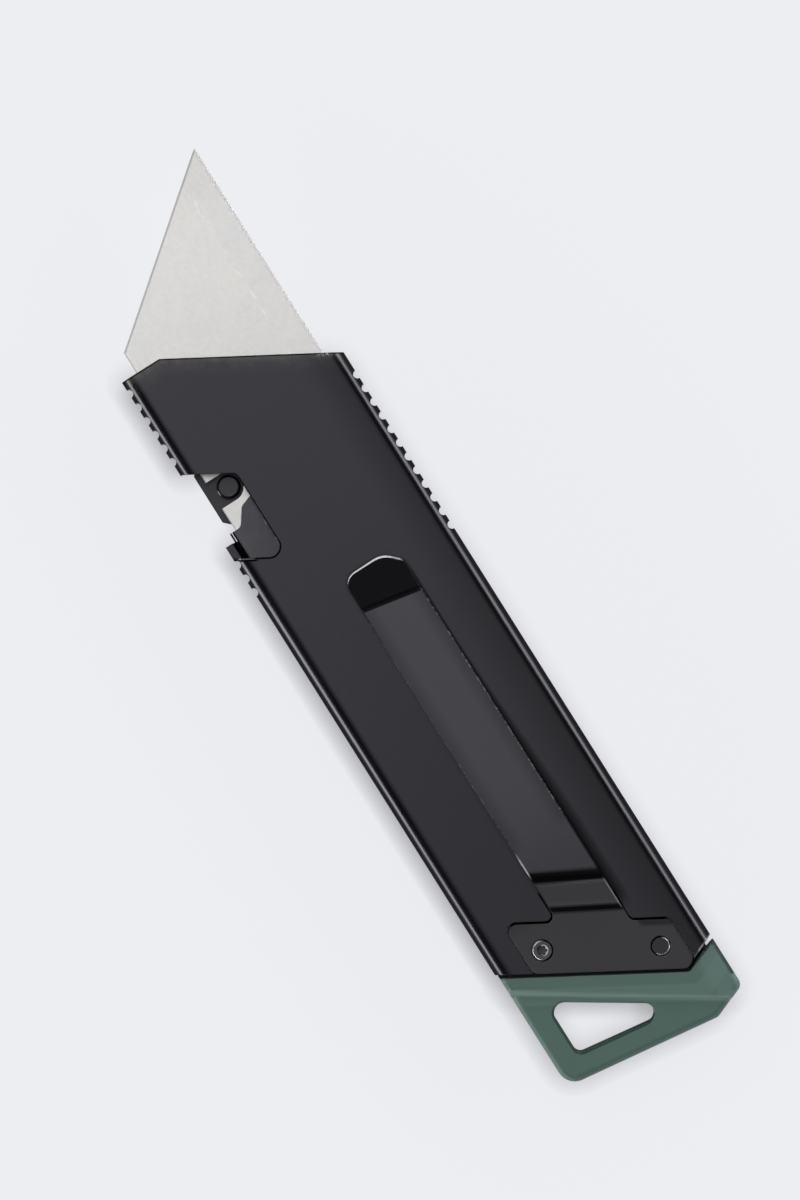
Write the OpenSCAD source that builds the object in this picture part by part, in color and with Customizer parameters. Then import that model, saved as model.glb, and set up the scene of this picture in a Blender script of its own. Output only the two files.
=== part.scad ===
// Slim utility knife: a trapezoid blade in a folded carrier slides out of a folded steel sleeve.
// The knife lies along X with the blade tip towards +X and the pocket clip on top (+Z).
// The blade's back and the release window are on the +Y side, the cutting edge on the -Y side.
// Z = 0 is the outer face of the thumb button, the lowest point of the knife.

/* [Sleeve] */
// Length of the sleeve along its spine side
sleeve_l = 78.9; // [74:0.1:90]
// Width of the sleeve across the blade
sleeve_w = 23; // [22.8:0.1:25]
// Thickness of the folded sheet
sheet_t = 0.9; // [0.7:0.05:1]
// Outer radius of the sleeve's bends
bend_r = 1.8; // [1.5:0.05:2]
// Width of each rear lip, from the sleeve's side
lip_w = 3.2; // [2.6:0.1:3.8]
// Angle of the slanted edges, from straight across
slant = 30; // [27:0.5:32]
// Straight stretch of the mouth next to the spine
mouth_flat = 5; // [4:0.1:7]
// Height of the heel corner above the cutting side at the rear end
heel_h = 4.2; // [3:0.1:5]
// Angle at which the heel corner turns back, from straight across
heel_angle = 23.7; // [15:0.1:30]

/* [Grip grooves] */
// Radius of each round groove
groove_r = 0.5; // [0.3:0.05:0.6]
// Distance from groove to groove
groove_pitch = 1.82; // [1.5:0.01:2.2]
// Grooves along the cutting side
grooves_edge = 12; // [6:1:14]
// Grooves at the spine, ahead of the window
grooves_front = 6; // [2:1:6]
// Grooves at the spine, behind the window
grooves_rear = 3; // [1:1:6]

/* [Window] */
// Length of the window along the spine side
window_l = 11.1; // [10:0.1:13]
// Depth of the window from the spine side
window_d = 5.46; // [5:0.1:6]
// Length of the opening through the side wall and the rear lip
wall_gap_l = 9.55; // [9:0.05:10.5]
// Reach of the window ahead of the notch pin
window_lead = 4; // [3.5:0.1:4.5]
// Radius of the window's rear corner
window_r = 1.25; // [0.6:0.05:1.6]

/* [Blade] */
// Length of the cutting edge
blade_l = 61; // [60:0.1:62]
// Height of the blade
blade_h = 19.05; // [18.6:0.05:19.3]
// Thickness of the blade
blade_t = 0.65; // [0.55:0.01:0.7]
// Slope of the blade's ends: length lost at each end on the back
blade_run = 15.4; // [14:0.1:16.5]
// Reach of the tip ahead of the sleeve's straight mouth
blade_out = 18.15; // [16:0.05:19]
// Width of the ground face along the cutting edge
grind_w = 3.2; // [1.2:0.1:3.6]
// Width of the fine bevel at the very edge
edge_w = 0.3; // [0.2:0.05:0.5]
// Distance between the two notches in the back
notch_pitch = 7.9; // [7:0.1:9]
// Width of a notch
notch_w = 3.43; // [3.2:0.01:3.6]
// Depth of a notch
notch_d = 3.66; // [3.4:0.01:3.9]

/* [Carrier and release] */
// Thickness of the carrier's sheet
carrier_t = 0.6; // [0.5:0.05:0.7]
// Play between the carrier and each side wall of the sleeve
side_gap = 0.3; // [0.2:0.05:0.4]
// Play between the carrier's top plate and the sleeve's face
top_gap = 0.4; // [0.3:0.05:0.6]
// Travel of the blade from fully out to fully in
travel = 29; // [28.6:0.1:31]
// Thickness of the release leaf
leaf_t = 0.5; // [0.4:0.05:0.55]
// Length of the release leaf from its rivets to the notch pin
leaf_l = 19.3; // [18.8:0.1:20]
// Diameter of the notch pin
pin_d = 2.7; // [2.3:0.01:2.8]
// Angle through which the leaf is pressed to free the blade
leaf_angle = 2.1; // [2:0.1:2.2]
// Height of the space between the carrier and the track plate
cavity_h = 1.5; // [1.45:0.05:1.8]

/* [Thumb slider] */
// Length of the thumb button
button_l = 14; // [12:0.5:16]
// Width of the thumb button
button_w = 8.4; // [7:0.1:10]
// Distance from the notch pin back to the button's middle
button_back = 14.6; // [14:0.1:14.9]
// Height of the button proud of the rear lips
button_proud = 1; // [0.9:0.05:1.4]
// Depth by which the button is pressed to free the lock
button_press = 0.8; // [0.75:0.05:0.85]
// Number of grip ribs on the button
button_ribs = 5; // [3:1:6]
// Thickness of the track plate
track_t = 0.8; // [0.7:0.05:0.9]
// Width of the slot in the track plate
slot_w = 4.2; // [4:0.1:5]

/* [Pocket clip] */
// Width of the clip's arm
arm_w = 7.1; // [6:0.1:8]
// Offset of the arm's middle line from the sleeve's, towards the cutting side
arm_offset = 1.22; // [0.8:0.01:1.6]
// Height of the arm's root above the sleeve's face
clip_rise = 2.9; // [2.4:0.1:3.4]
// Height of the gap between the arm's heel and the face at the pinch
clip_pinch = 0.1; // [0.05:0.05:0.4]
// Length of the arm from its root bend to its heel bend, along the knife
arm_l = 35.9; // [30:0.1:40]
// Reach of the flared tip ahead of the arm's heel corner
flare_l = 5.65; // [5:0.05:6.2]
// Angle of the flared tip
flare_angle = 23; // [15:1:28]
// Length of the clip's base along the knife
base_l = 6.5; // [6:0.1:7.5]
// Gap around the clip's base in the sleeve's face
base_gap = 0.16; // [0.08:0.01:0.2]
// Distance of the base from the sleeve's spine side
base_spine = 3.79; // [3.4:0.01:4.2]
// Height of the base's heel corner above its cutting side
base_heel = 1.3; // [1.2:0.01:1.6]

/* [End cap] */
// Reach of the cap behind the sleeve's spine corner
cap_out = 17.4; // [16:0.05:20]
// Gap between the sleeve's end and the cap's shoulder, next to the spine
cap_gap = 0.42; // [0.2:0.01:0.5]
// Length of the tongue inside the sleeve, along the knife
tongue_l = 11.3; // [10.8:0.1:12]
// Step from the cap's thick band down to the lanyard plate, on each face
cap_step = 0.7; // [0.4:0.05:1]
// Radius of the cap's outer edges
cap_edge_r = 0.8; // [0.5:0.05:1]
// Distance of the clip's two fasteners from the sleeve's rear edge
fastener_setback = 2.63; // [2.3:0.01:3]
// Distance of the screw from the spine side of the clip's base
screw_inset = 2.24; // [2:0.01:3]
// Distance of the rivet from the cutting side of the clip's base
rivet_inset = 2.52; // [2.2:0.01:3]

/* [Hidden] */
$fn = 48;
eps = 0.01;
far = 60;
arc_step = 12;

// Fits between pieces of one body, and between moving pieces
fit = 0.05;
play = 0.15;

// Levels, from the button's crown up to the face
z_lip_out = button_proud;
z_lip_in = z_lip_out + sheet_t;
z_track = z_lip_in + track_t;
z_plate_low = z_track + cavity_h;
z_blade_low = z_plate_low + carrier_t;
z_blade_top = z_blade_low + blade_t;
z_plate_top = z_blade_top + fit;
z_carrier_top = z_plate_top + carrier_t;
z_face_in = z_carrier_top + top_gap;
z_face = z_face_in + sheet_t;
sleeve_t = z_face - z_lip_out;
z_mid = (z_face + z_lip_out) / 2;

// Lengths, centred on the whole knife
half_w = sleeve_w / 2;
overall_l = blade_out + sleeve_l + cap_out;
mouth_x = overall_l / 2 - blade_out;
tail_x = mouth_x - sleeve_l;
tip_x = mouth_x + blade_out;
cap_end_x = tail_x - cap_out;
inner_y = half_w - sheet_t;
lip_y = half_w - lip_w;
slope = tan(slant);

// X of a slanted line at y, where start is its X on the spine side
function slanted(start, y) = start - (half_w - y) * slope;
mouth_start = mouth_x + mouth_flat * slope;
heel_y = heel_h - half_w;
heel_corner_r = 0.8;
heel_x = slanted(tail_x, heel_y);
function heel_line(y) = heel_x + (heel_y - y) * tan(heel_angle);

// Blade, notch pin and window
blade_y = blade_h / 2;
blade_mid_x = tip_x - blade_l / 2;
pin_x = blade_mid_x - notch_pitch / 2;
notch_r = notch_w / 2;
pin_y = blade_y - notch_d + notch_r;
window_x = pin_x + window_lead;
window_y = half_w - window_d;
wall_gap_x = window_x - 0.1;

// Carrier
carrier_y = inner_y - side_gap;
carrier_bend = 0.1;
carrier_front_x = pin_x - 4.6;
tray_front_x = pin_x + 4.4;
tray_step_y = 2.9;
carrier_rear_x = tail_x + tongue_l + 0.5 + travel;
top_plate_y = 4.3 - half_w;
glide_r = 1.3;
glide_inset = 3;
glide_front_x = carrier_front_x - 7;

// Thumb slider, counted from the button's middle
button_x = pin_x - button_back;
boss_l = 7;
runner_l = 16;
runner_w = 6;
post_size = [3, 2.2];
post_head = [4, 3];
post_head_t = 0.4;
z_runner_floor = z_track + 0.2;
spring_t = 0.25;
spring_w = 2.8;
z_spring = z_runner_floor + post_head_t + fit;
tooth_x = 5.2;
tooth_w = 5.4;
rivet_x = 6.6;
rivet_r = 0.7;
pad_gap = z_lip_in - button_press - fit;

// Release leaf
leaf_gap = 0.1;
leaf_top = z_plate_low - leaf_gap;
leaf_root_x = pin_x - leaf_l;
leaf_y = [runner_w / 2 + 0.5, carrier_y - 1.3];
leaf_rivets_y = [leaf_y[0] + 1.5, leaf_y[1] - 1];
leaf_end = 1.4;
ear_lead = 3.4;
ear_back = 3.05;
ear_step = 2;

// Clip
clip_slant = 29;
clip_bend_r = 1;
clip_foot_r = 1.5;
arm_y = [-arm_offset - arm_w / 2, -arm_offset + arm_w / 2];
base_y = [heel_y - base_heel, half_w - base_spine];
shoulder_x = tail_x + base_l;
ramp_l = 3.47;
ramp_foot = clip_s([slanted(shoulder_x, -arm_offset) + 1.9, -arm_offset]);
ramp_top = ramp_foot + ramp_l;
heel_point = [slanted(shoulder_x, arm_y[0]) + 8.1 + arm_l, arm_y[0]];
heel_turn = 10.4;
heel_r = 1.6;
heel_x0 = 0.35;
heel_point_far = [heel_point.x + arm_w * tan(heel_turn), arm_y[1]];
arm_heel_z = sheet_t + clip_pinch;
arm_fall = (clip_rise - arm_heel_z) / (clip_s(heel_point) - ramp_top);
function clip_s(p) = p.x * cos(clip_slant) - p.y * sin(clip_slant);
function arm_z(p) = arm_heel_z + (clip_s(heel_point) - clip_s(p)) * arm_fall;

// Fasteners of the clip and the cap
function fastener_at(y) = [slanted(tail_x + fastener_setback / cos(slant), y), y];
screw_at = fastener_at(base_y[1] - screw_inset);
rivet_at = fastener_at(base_y[0] + rivet_inset);
screw_head_r = 1.22;
screw_r = 0.8;
insert_r = 1.5;
clip_rivet_r = 0.75;
clip_rivet_head_r = 1.13;
head_rim_w = 0.2;
head_rim_h = 0.17;

// Cap
cap_y = half_w - 0.25;
cap_slope = 7.3;
band_slant = 32.5;
cap_ledge_gap = 0.15;
band_flat = 2.1;
band_w = 0.9;

// ---- Outlines ----

function unit(v) = v / norm(v);
function turned(v, a) = [v.x * cos(a) - v.y * sin(a), v.x * sin(a) + v.y * cos(a)];
function xy(p) = [p[0], p[1]];

// Middle of the arc that rounds the corner p between a and b
function corner_centre(a, p, b, r) =
    let (u = unit(a - p), w = unit(b - p), half = acos(u * w) / 2)
    p + unit(u + w) * r / sin(half);

// Points that round the corner p between a and b with radius r
function corner_arc(a, p, b, r) =
    let (u = unit(a - p), w = unit(b - p), half = acos(u * w) / 2,
        middle = corner_centre(a, p, b, r), sweep = 180 - 2 * half,
        from = p + u * r / tan(half) - middle, to = p + w * r / tan(half) - middle,
        side = sign(cross(from, to)), steps = max(2, ceil(sweep / arc_step)))
    [for (i = [0:steps]) middle + turned(from, side * sweep * i / steps)];

// Closed outline from corners [x, y] or [x, y, radius]
function rounded(corners) =
    let (n = len(corners))
    [for (i = [0:n - 1])
        let (p = corners[i], a = corners[(i + n - 1) % n], b = corners[(i + 1) % n])
        each (len(p) < 3 || p[2] == 0 ? [xy(p)] : corner_arc(xy(a), xy(p), xy(b), p[2]))];

// Closed outline of a bent sheet: path holds its left side as [x, y] or [x, y, inner bend radius]
function sheet_outline(path, t) =
    let (n = len(path), ways = [for (i = [0:n - 2]) unit(xy(path[i + 1]) - xy(path[i]))],
        sides = [for (w = ways) [w.y, -w.x]],
        turns = [for (i = [1:n - 2]) cross(ways[i - 1], ways[i])])
    concat([xy(path[0])],
        [for (i = [1:n - 2]) [path[i].x, path[i].y, path[i][2] + (turns[i - 1] > 0 ? 0 : t)]],
        [xy(path[n - 1]), xy(path[n - 1]) + sides[n - 2] * t],
        [for (i = [n - 2:-1:1])
            let (m = (sides[i - 1] + sides[i]) / (1 + sides[i - 1] * sides[i]), p = xy(path[i]) + m * t)
            [p.x, p.y, path[i][2] + (turns[i - 1] > 0 ? t : 0)]],
        [xy(path[0]) + sides[0] * t]);

// Rectangle with round corners, centred
module soft_rect(w, h, r) {
    square([w - 2 * r, h], center = true);
    square([w, h - 2 * r], center = true);
    for (x = [-1, 1], y = [-1, 1])
        translate([x * (w / 2 - r), y * (h / 2 - r)])
            circle(r);
}

// Extrudes a plan outline between two levels
module slab(z0, z1) {
    translate([0, 0, z0])
        linear_extrude(z1 - z0)
            children();
}

// Extrudes a Y-Z section along X
module along_x(x0, x1) {
    translate([x0, 0, 0])
        rotate([90, 0, 90])
            linear_extrude(x1 - x0)
                children();
}

// Extrudes an X-Z section across a width, centred
module across(w) {
    rotate([90, 0, 0])
        linear_extrude(w, center = true)
            children();
}

// Straight slot with round ends, from a to b along X
module round_slot(a, b, w) {
    translate([a + w / 2, -w / 2])
        square([b - a - w, w]);
    for (x = [a + w / 2, b - w / 2])
        translate([x, 0])
            circle(w / 2);
}

// ---- Shared outlines of the knife ----

// Plan of the sleeve, pulled in by inset at the mouth and at the rear end; over is spare width at the sides
module sleeve_plan(inset = 0, over = 1) {
    y1 = half_w + over;
    y0 = -half_w - over;
    polygon(rounded([
        [mouth_x - inset, y1],
        [mouth_x - inset, half_w - mouth_flat],
        [slanted(mouth_start - inset, y0), y0],
        [heel_line(y0) + inset, y0],
        [heel_x + inset, heel_y, heel_corner_r],
        [slanted(tail_x + inset, y1), y1]]));
}

// Corners of the clip's base with its neck, grown outwards by g; the neck reaches to neck_x
function base_corners(g, neck_x) =
    let (top = g / cos(slant), front = 1.7 * top, y0 = base_y[0] - g, y1 = base_y[1] + g,
        n0 = arm_y[0] - g, n1 = arm_y[1] + g)
    [[slanted(tail_x - top, y1), y1, 1.2],
    [slanted(shoulder_x + front, y1), y1, 0.9 + g],
    [slanted(shoulder_x + front, n1), n1, 0.8 - g],
    [slanted(neck_x, n1), n1],
    [slanted(neck_x, n0), n0],
    [slanted(shoulder_x + front, n0), n0, 0.8 - g],
    [slanted(shoulder_x + front, y0), y0, 0.9 + g],
    [heel_line(y0) - g, y0, 1.3],
    [slanted(tail_x - top, heel_y), heel_y, heel_corner_r]];

// ---- Sleeve and what is fixed to it ----

module channel_section() {
    translate([0, z_mid])
        difference() {
            soft_rect(sleeve_w, sleeve_t, bend_r);
            soft_rect(sleeve_w - 2 * sheet_t, sleeve_t - 2 * sheet_t, bend_r - sheet_t);
            translate([-lip_y, -sleeve_t])
                square([2 * lip_y, sleeve_t]);
        }
}

module groove(x, side) {
    translate([x, side * half_w, 0])
        cylinder(h = far, r = groove_r);
}

module sleeve() {
    edge_groove_x = slanted(mouth_start, -half_w) - 2.9;
    color([0.23, 0.23, 0.245])
        difference() {
            intersection() {
                along_x(-far, far)
                    channel_section();
                slab(0, z_face + 1)
                    sleeve_plan();
            }
            // Window in the face, open to the spine side
            slab(z_face - bend_r, z_face + 1)
                polygon(rounded([
                    [slanted(window_x, half_w + 1), half_w + 1],
                    [slanted(window_x, window_y), window_y, 0.3],
                    [slanted(window_x - window_l, window_y), window_y, window_r],
                    [slanted(window_x - window_l, half_w + 1), half_w + 1]]));
            // The same window through the side wall and the rear lip
            translate([wall_gap_x - wall_gap_l, lip_y - eps, 0])
                cube([wall_gap_l, lip_w + 1, z_face - bend_r + eps]);
            // Cut-out that the clip's base keys into
            slab(z_face_in - eps, z_face + 1)
                polygon(rounded(base_corners(base_gap, shoulder_x + 4)));
            for (i = [0:grooves_edge - 1])
                groove(edge_groove_x - i * groove_pitch, -1);
            for (i = [0:grooves_front - 1])
                groove(mouth_x - 1.5 - i * groove_pitch, 1);
            for (i = [0:grooves_rear - 1])
                groove(window_x - 12 - i * groove_pitch, 1);
            for (p = track_rivet_spots)
                translate([p.x, p.y, 0])
                    cylinder(h = z_track, r = rivet_r + 0.02);
        }
}

track_rivet_spots = [
    [mouth_x - 3.2, half_w - bend_r - 0.9],
    [slanted(mouth_start, bend_r + 0.9 - half_w) - 3.2, bend_r + 0.9 - half_w]];
slot_front = button_x + boss_l / 2 + play;
slot_rear = button_x - boss_l / 2 - travel - play;

module track_plate() {
    track_y = half_w - bend_r;
    color([0.3, 0.3, 0.31])
        slab(z_lip_in, z_track)
            difference() {
                intersection() {
                    sleeve_plan(0.5);
                    square([2 * far, 2 * track_y], center = true);
                }
                round_slot(slot_rear, slot_front, slot_w);
                // Notches that the lock spring's tooth drops into: out, half way and in
                for (x = [0, travel / 2, travel])
                    translate([button_x + tooth_x - x, 0])
                        square([spring_t + 2 * play, tooth_w + 2 * play], center = true);
                translate([wall_gap_x - wall_gap_l, lip_y])
                    square([wall_gap_l, half_w]);
                for (p = track_rivet_spots)
                    translate(p)
                        circle(rivet_r + 0.02);
                translate(screw_at)
                    circle(insert_r + fit);
                translate(rivet_at)
                    circle(clip_rivet_r + fit);
            }
}

module track_rivets() {
    color([0.36, 0.36, 0.37])
        for (p = track_rivet_spots)
            translate([p.x, p.y, z_lip_out])
                cylinder(h = z_track - z_lip_out, r = rivet_r);
}

// Round disc with soft edges, a building block of the cap
module cap_puck(p, z0, z1, r) {
    translate([p.x, p.y, 0])
        rotate_extrude($fn = 32)
            polygon(rounded([[0, z0], [r, z0, cap_edge_r], [r, z1, cap_edge_r], [0, z1]]));
}

cap_corners = [
    [tail_x + 4, cap_y, 1],
    [cap_end_x + (cap_y - heel_y) * tan(cap_slope), cap_y, 2.1],
    [cap_end_x, heel_y, 1],
    [cap_end_x + (half_w + heel_y) * tan(22), -half_w, 1],
    [tail_x - 6, -half_w, 1]];

module cap_blank(z0, z1) {
    n = len(cap_corners);
    hull()
        for (i = [0:n - 1]) {
            p = cap_corners[i];
            a = cap_corners[(i + n - 1) % n];
            b = cap_corners[(i + 1) % n];
            cap_puck(corner_centre(xy(a), xy(p), xy(b), p[2]), z0, z1, p[2]);
        }
}

// Section of the cap's thick band with its bevels, across the band
module band_section() {
    polygon([
        [far, z_lip_out - 1], [0, z_lip_out - 1], [0, z_lip_out], [-band_w, z_lip_out + cap_step],
        [-band_w, z_face - cap_step], [0, z_face], [0, z_face + 1], [far, z_face + 1]]);
}

// Corners of the lanyard hole, grown outwards by g
function hole_corners(g) = [
    [tail_x - 5.58 + 1.9 * g, cap_y - 2.94 + g, 1.2 + g],
    [cap_end_x + 4.9 - g, cap_y - 2.94 + g, 0.9 + g],
    [cap_end_x + 3.04 - g, -5.3 - 2.2 * g, 1.1 + g]];

// Plan of the room that the sleeve's end takes, with a gap of g behind it
module sleeve_room(g) {
    shoulder = g / cos(slant);
    polygon(rounded([
        [0, half_w + 1],
        [slanted(tail_x - shoulder, half_w + 1), half_w + 1],
        [slanted(tail_x - shoulder, heel_y), heel_y, heel_corner_r],
        [heel_line(-half_w - 1) - 2 * cap_gap, -half_w - 1],
        [0, -half_w - 1]]));
}

module end_cap() {
    z0 = z_lip_out + cap_step;
    z1 = z_face - cap_step;
    rim = 0.3;
    color([0.34, 0.43, 0.40])
        difference() {
            union() {
                difference() {
                    union() {
                        cap_blank(z0, z1);
                        intersection() {
                            cap_blank(z_lip_out, z_face);
                            translate([slanted(tail_x, 0) - band_flat / cos(slant), 0, 0])
                                rotate([0, 0, -band_slant])
                                    across(2 * far)
                                        band_section();
                        }
                    }
                    // Room for the sleeve's end, less deep along the middle of the thickness
                    slab(0, z_face + 1)
                        sleeve_room(cap_ledge_gap);
                    slab(0, z_lip_in + 0.3)
                        sleeve_room(cap_gap);
                    slab(z_face_in - 0.3, z_face + 1)
                        sleeve_room(cap_gap);
                    // Lanyard hole with its bevelled rims
                    slab(0, z_face + 1)
                        polygon(rounded(hole_corners(0)));
                    for (side = [0, 1])
                        translate([0, 0, side == 0 ? z0 : z1])
                            mirror([0, 0, side])
                                hull() {
                                    slab(-eps, 0)
                                        polygon(rounded(hole_corners(rim)));
                                    slab(0, rim)
                                        polygon(rounded(hole_corners(0)));
                                }
                }
                // Tongue inside the sleeve
                intersection() {
                    along_x(-far, 0)
                        translate([0, (z_face_in + z_track) / 2])
                            soft_rect(2 * (inner_y - play), z_face_in - z_track, bend_r - sheet_t);
                    slab(0, z_face)
                        polygon([
                            [slanted(tail_x + tongue_l, half_w), half_w],
                            [slanted(tail_x + tongue_l, -half_w), -half_w],
                            [heel_x - 1, -half_w],
                            [heel_x - 1, heel_y],
                            [slanted(tail_x - 1, half_w), half_w]]);
                }
            }
            translate([screw_at.x, screw_at.y, 0])
                cylinder(h = z_face, r = insert_r + fit);
            translate([rivet_at.x, rivet_at.y, 0])
                cylinder(h = z_face, r = clip_rivet_r + fit);
        }
}

module pocket_clip() {
    n = [cos(clip_slant), -sin(clip_slant)];
    heel_s = clip_s(heel_point);
    roll = atan((arm_z(heel_point_far) - arm_z(heel_point)) / norm(heel_point_far - heel_point));
    color([0.29, 0.29, 0.3])
        difference() {
            union() {
                // Base, ramp and arm
                intersection() {
                    rotate([0, 0, -clip_slant])
                        across(2 * far)
                            translate([0, z_face])
                                polygon(rounded(sheet_outline([
                                    [-far, 0],
                                    [ramp_foot, 0, clip_foot_r],
                                    [ramp_top, clip_rise, clip_bend_r],
                                    [heel_s + 9, arm_heel_z - 9 * arm_fall]], sheet_t)));
                    slab(0, z_face + clip_rise + 1)
                        union() {
                            polygon(rounded(base_corners(0, shoulder_x + 4)));
                            polygon([
                                [slanted(shoulder_x + 3, arm_y[1]), arm_y[1]],
                                [heel_point_far.x, arm_y[1]],
                                heel_point,
                                [slanted(shoulder_x + 3, arm_y[0]), arm_y[0]]]);
                        }
                }
                clip_tip(roll);
            }
            translate([screw_at.x, screw_at.y, 0])
                countersink(screw_head_r + fit, screw_r + fit);
            translate([rivet_at.x, rivet_at.y, 0])
                countersink(clip_rivet_head_r + fit, clip_rivet_r + fit);
        }
}

// Curved heel and flared tip with its round end
module clip_tip(roll) {
    run = norm(heel_point_far - heel_point);
    start = heel_r * tan(flare_angle / 2) * 1.2;
    end = 1.4 * start;
    translate([heel_point.x, heel_point.y, z_face + arm_z(heel_point)])
        rotate([0, 0, -heel_turn])
            rotate([roll, 0, 0]) {
                translate([0, run / 2, 0])
                    intersection() {
                        across(2 * run)
                            polygon(rounded(sheet_outline([
                                [-0.3, 0.3 * arm_fall],
                                [0, 0, 0],
                                [heel_x0, 0, heel_r],
                                [heel_x0 + end * cos(flare_angle), end * sin(flare_angle)]], sheet_t)));
                        rotate([0, 0, heel_turn])
                            cube([20, arm_w, 20], center = true);
                    }
                translate([heel_x0, 0, 0])
                    rotate([0, -flare_angle, 0])
                        slab(-sheet_t, 0)
                            polygon(rounded([
                                [start, flare_side(start)],
                                flare_point(flare_l - 1.85, 0, 1.2),
                                flare_point(flare_l, 1.87, 2.5),
                                flare_point(flare_l, arm_w, 1.7),
                                [start, flare_side(start) + run]]));
            }
}

// Place in the flare's plane of a plan point at x, y from the heel corner; r is the corner's radius
function flare_point(x, y, r) =
    let (p = turned([x, y], heel_turn))
    [(p.x - heel_x0) / cos(flare_angle), p.y, r];

// Line of the arm's side in the flare's plane
function flare_side(u) = (heel_x0 + u * cos(flare_angle)) * tan(heel_turn);

// Flush head: a short cylinder over a cone over the shank
module countersink(head_r, shank_r) {
    translate([0, 0, z_face - 0.3])
        cylinder(h = 1, r = head_r);
    translate([0, 0, z_face - 0.3 - (head_r - shank_r)])
        cylinder(h = head_r - shank_r + eps, r1 = shank_r, r2 = head_r);
    cylinder(h = z_face, r = shank_r);
}

// Shank and flush head, its rim bevelled
module flush_fastener(head_r, shank_r, z_end) {
    intersection() {
        countersink(head_r, shank_r);
        union() {
            translate([0, 0, z_end])
                cylinder(h = z_face - head_rim_h - z_end, r = head_r + 1);
            translate([0, 0, z_face - head_rim_h - eps])
                cylinder(h = head_rim_h + eps, r1 = head_r + eps, r2 = head_r - head_rim_w);
        }
    }
}

module clip_screw() {
    socket_r = 0.6;
    lobe_r = 0.17;
    lead_in = 0.16;
    color([0.42, 0.42, 0.43])
        translate([screw_at.x, screw_at.y, 0])
            difference() {
                flush_fastener(screw_head_r, screw_r, z_lip_in + 0.8);
                // Six-lobed drive socket with a bevelled lead-in
                translate([0, 0, z_face - lead_in])
                    cylinder(h = lead_in + eps, r1 = socket_r - lobe_r, r2 = socket_r + lead_in / 2);
                slab(z_face - 0.7, z_face + 1) {
                    circle(socket_r - lobe_r);
                    for (i = [0:5])
                        rotate(60 * i)
                            translate([socket_r - lobe_r, 0])
                                circle(lobe_r, $fn = 16);
                }
            }
}

module screw_insert() {
    color([0.62, 0.6, 0.5])
        translate([screw_at.x, screw_at.y, 0])
            difference() {
                union() {
                    translate([0, 0, z_lip_in - 0.5])
                        cylinder(h = 0.5, r = insert_r + 0.6);
                    translate([0, 0, z_lip_in - eps])
                        cylinder(h = z_face_in - 0.2 - z_lip_in, r = insert_r);
                }
                translate([0, 0, z_lip_in + 0.4])
                    cylinder(h = z_face, r = screw_r + 0.02);
            }
}

module clip_rivet() {
    color([0.38, 0.38, 0.39])
        translate([rivet_at.x, rivet_at.y, 0]) {
            flush_fastener(clip_rivet_head_r, clip_rivet_r, z_lip_in - eps);
            translate([0, 0, z_lip_in - 0.5])
                cylinder(h = 0.5, r = clip_rivet_r + 0.6);
        }
}

// ---- Blade and carrier ----

module blade() {
    color([0.8, 0.8, 0.79])
        difference() {
            intersection() {
                slab(z_blade_low, z_blade_top)
                    polygon(rounded([
                        [tip_x, -blade_y, 0.12],
                        [tip_x - blade_run, blade_y],
                        [tip_x - blade_l + blade_run, blade_y],
                        [tip_x - blade_l, -blade_y, 0.12]]));
                // Ground face and fine bevel along the cutting edge
                along_x(-far, far)
                    translate([-blade_y, (z_blade_low + z_blade_top) / 2])
                        polygon([
                            [0, 0],
                            [edge_w, -blade_t * 0.18],
                            [grind_w, -blade_t / 2],
                            [blade_h + 1, -blade_t / 2],
                            [blade_h + 1, blade_t / 2],
                            [grind_w, blade_t / 2],
                            [edge_w, blade_t * 0.18]]);
            }
            for (side = [-1, 1])
                translate([blade_mid_x + side * notch_pitch / 2, pin_y, 0]) {
                    cylinder(h = far, r = notch_r);
                    translate([-notch_r, 0, 0])
                        cube([notch_w, blade_h, far]);
                }
        }
}

// One folded sheet: guide flange, tray under the blade, fold along the back, plate over the blade
module blade_carrier() {
    inner = carrier_y - carrier_t;
    color([0.33, 0.33, 0.34])
        difference() {
            along_x(slanted(carrier_rear_x, -half_w), tray_front_x)
                polygon(rounded(sheet_outline([
                    [-carrier_y, z_track + fit],
                    [-carrier_y, z_blade_low, carrier_bend],
                    [inner, z_blade_low, carrier_bend],
                    [inner, z_plate_top, carrier_bend],
                    [top_plate_y, z_plate_top]], carrier_t)));
            // Rear edge
            slab(0, z_face)
                polygon([
                    [-far, half_w],
                    [slanted(carrier_rear_x, half_w), half_w],
                    [slanted(carrier_rear_x, -half_w), -half_w],
                    [-far, -half_w]]);
            // Front edge of the tray, stepped back for the release leaf
            slab(0, z_blade_low + eps)
                polygon(rounded([
                    [far, half_w],
                    [carrier_front_x, half_w],
                    [carrier_front_x, tray_step_y, 1],
                    [tray_front_x, tray_step_y, 1],
                    [slanted(tray_front_x + 5, tray_step_y - 3), tray_step_y - 3],
                    [far, tray_step_y - 3]]));
            // Front edge of the top plate and the fold, swept round the notch pin
            slab(z_blade_low, z_face)
                polygon(rounded([
                    [far, half_w],
                    [carrier_front_x, half_w],
                    [carrier_front_x, pin_y + 1.25, 0.8],
                    [carrier_front_x + 1.95, pin_y - 0.1, 0.7],
                    [carrier_front_x + 3.1, pin_y - 3.4, 1.5],
                    [carrier_front_x + 1, -half_w],
                    [far, -half_w]]));
            // Room for the lock spring to flex
            slab(0, z_blade_low + eps)
                translate([button_x - 5, -spring_w / 2 - 0.3])
                    square([11, spring_w + 0.6]);
            for (p = runner_rivet_spots)
                translate([p.x, p.y, 0])
                    cylinder(h = z_blade_low + eps, r = rivet_r + 0.02);
            for (y = leaf_rivets_y)
                translate([leaf_root_x, y, 0])
                    cylinder(h = z_blade_low + eps, r = rivet_r + 0.02);
            for (p = glide_spots)
                translate([p.x, p.y, z_plate_top - eps])
                    cylinder(h = 2, r = glide_r + 0.02);
        }
}

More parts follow.
